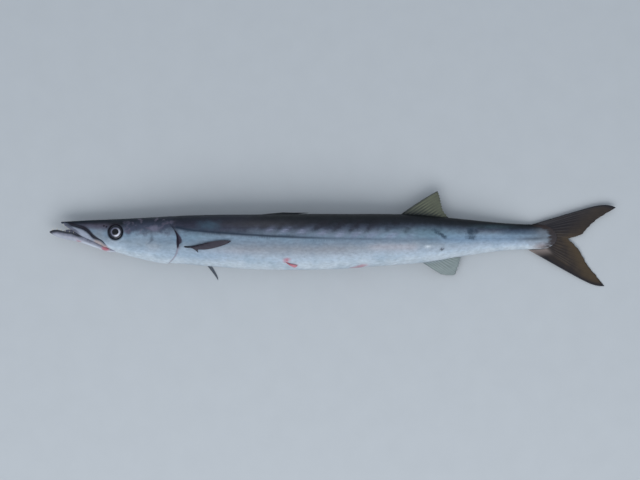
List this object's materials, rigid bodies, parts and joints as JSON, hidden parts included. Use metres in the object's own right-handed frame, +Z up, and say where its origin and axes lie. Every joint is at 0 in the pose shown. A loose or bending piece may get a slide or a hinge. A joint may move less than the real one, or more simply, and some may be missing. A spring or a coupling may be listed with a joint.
{
  "type": "barracuda",
  "caption": "Whole slender barracuda lying on its right flank, long pointed head with the mouth a little open, forked tail and small fins.",
  "frame": {"origin": "on the surface the fish lies on, under the middle of its bounding box", "axes": "+X towards the tail, the head points along -X; +Y towards the back (dorsal side); +Z up, away from the surface, through the left flank"},
  "size_m": [0.8, 0.1348, 0.0622],
  "materials": {
    "silver_skin": "wet scaled skin, dark on the back and silver on the flank",
    "eye": "wet glossy eyeball with a silver ring",
    "dusky_fin": "dark ribbed fin",
    "clear_fin": "thin translucent ribbed fin"
  },
  "bodies": {
    "root": {"head": "silver_skin", "trunk": "silver_skin", "tail_stalk": "silver_skin", "lower_jaw": "silver_skin", "jaw_plate_left": "silver_skin", "jaw_plate_right": "silver_skin", "gill_cover_left": "silver_skin", "gill_cover_right": "silver_skin", "eye_left": "eye", "eye_right": "eye", "first_dorsal_fin": "dusky_fin", "second_dorsal_fin": "clear_fin", "anal_fin": "clear_fin", "caudal_fin": "dusky_fin", "pectoral_fin_left": "dusky_fin", "pectoral_fin_right": "dusky_fin", "pelvic_fin_left": "clear_fin", "pelvic_fin_right": "clear_fin"}
  },
  "joints": []
}
